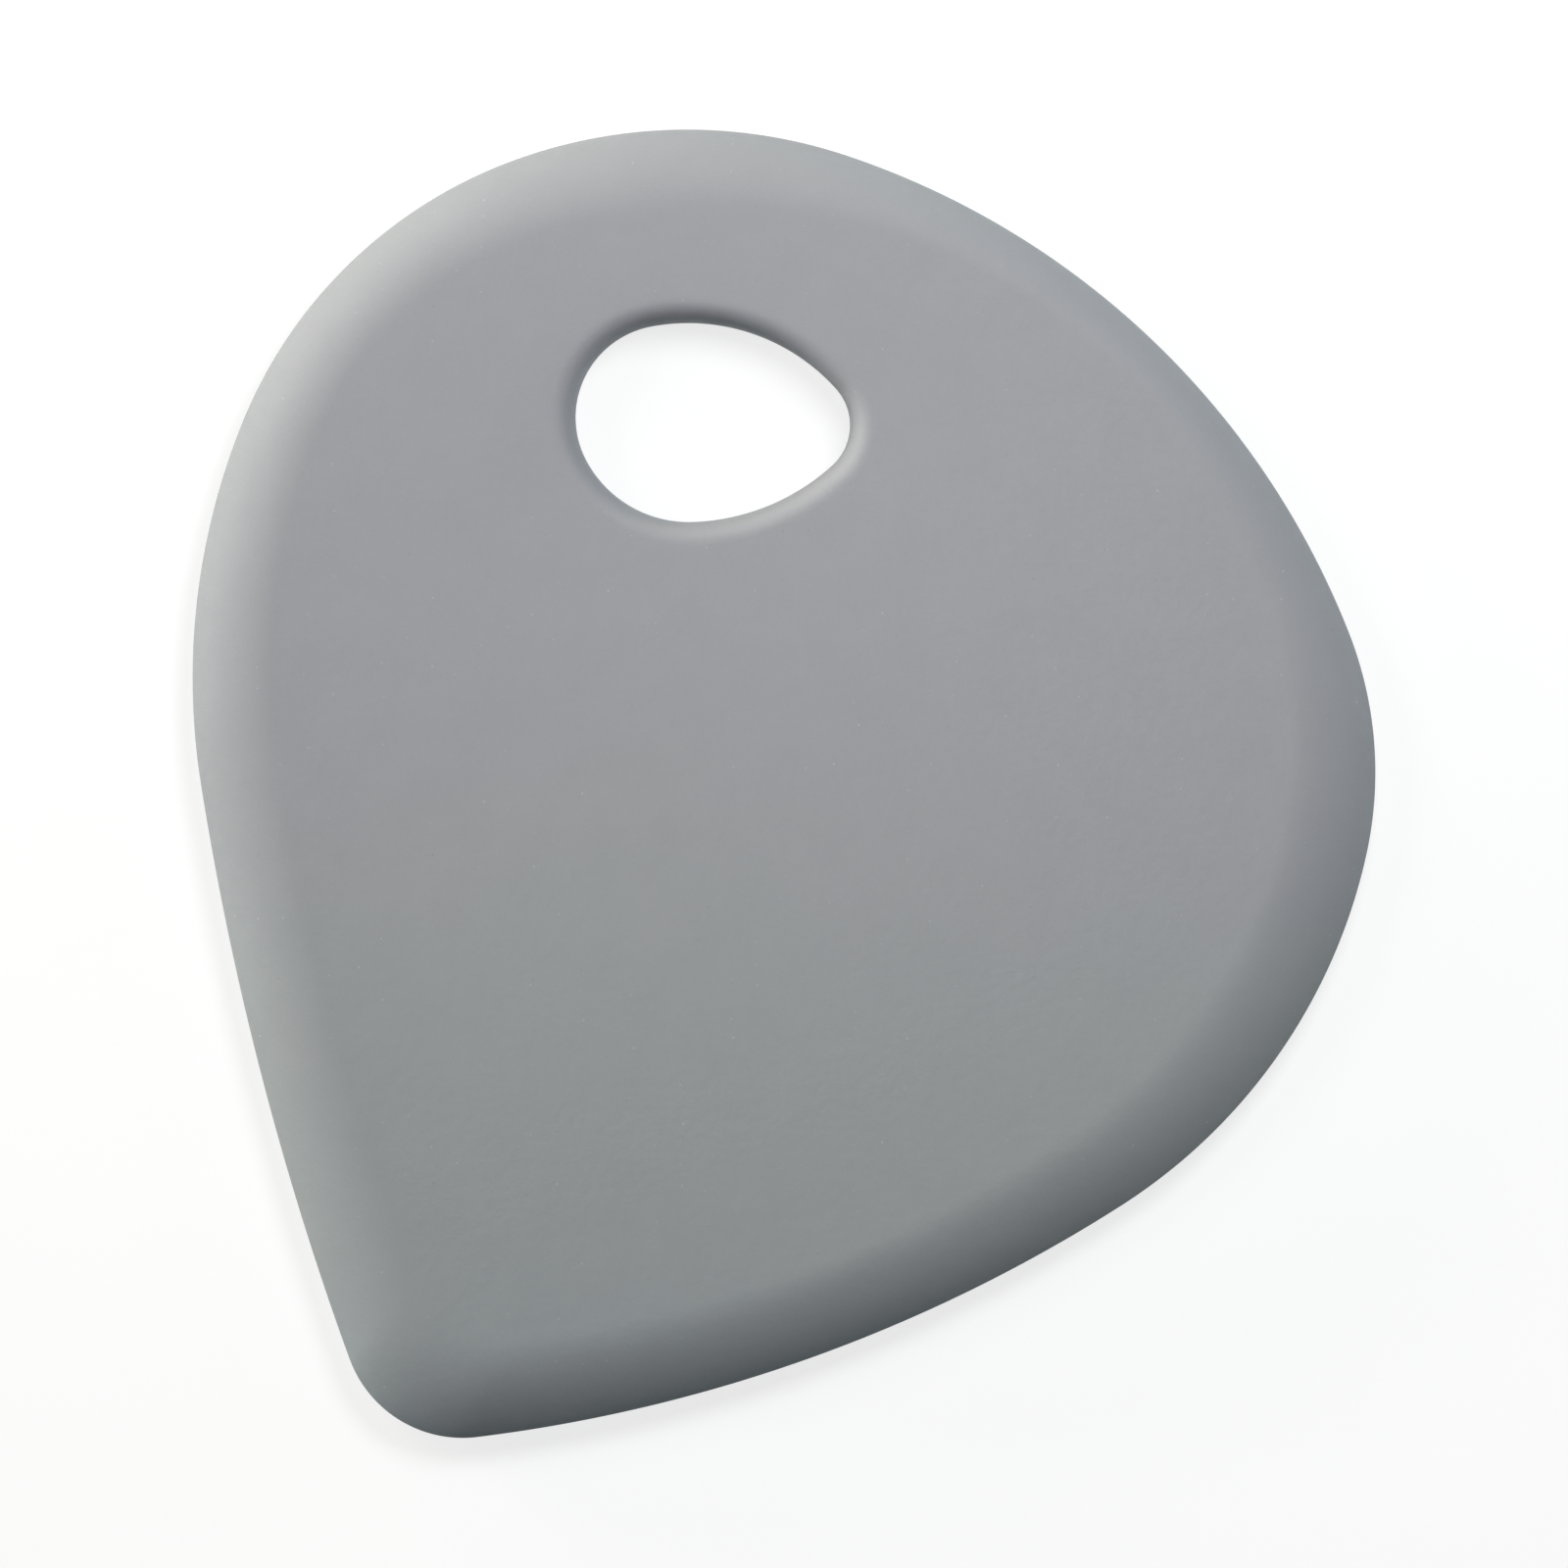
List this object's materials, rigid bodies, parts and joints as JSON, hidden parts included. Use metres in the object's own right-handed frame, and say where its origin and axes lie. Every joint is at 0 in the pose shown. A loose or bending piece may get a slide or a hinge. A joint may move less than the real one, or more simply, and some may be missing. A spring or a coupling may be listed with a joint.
{
  "type": "bowl scraper",
  "caption": "Palm-sized silicone bowl scraper: a rounded blade with a tight corner, soft bevels to a thin rim and an egg-shaped finger hole, moulded over a stiffening plate.",
  "frame": {"origin": "centre of the bottom of the scraper's box, on its flat back face, as it lies on a table", "axes": "+Z out of the front face, across the thin direction; +Y along the longest extent, towards the end with the finger hole; +X to the right in the front view, away from the nearly straight side"},
  "size_m": [0.113, 0.125, 0.008],
  "materials": {
    "silicone": "matte moulded silicone, cool mid grey",
    "core_plastic": "natural nylon, moulded plate, hidden inside the silicone"
  },
  "bodies": {
    "root": {"silicone_body": "silicone", "stiffener_core": "core_plastic"}
  },
  "joints": []
}
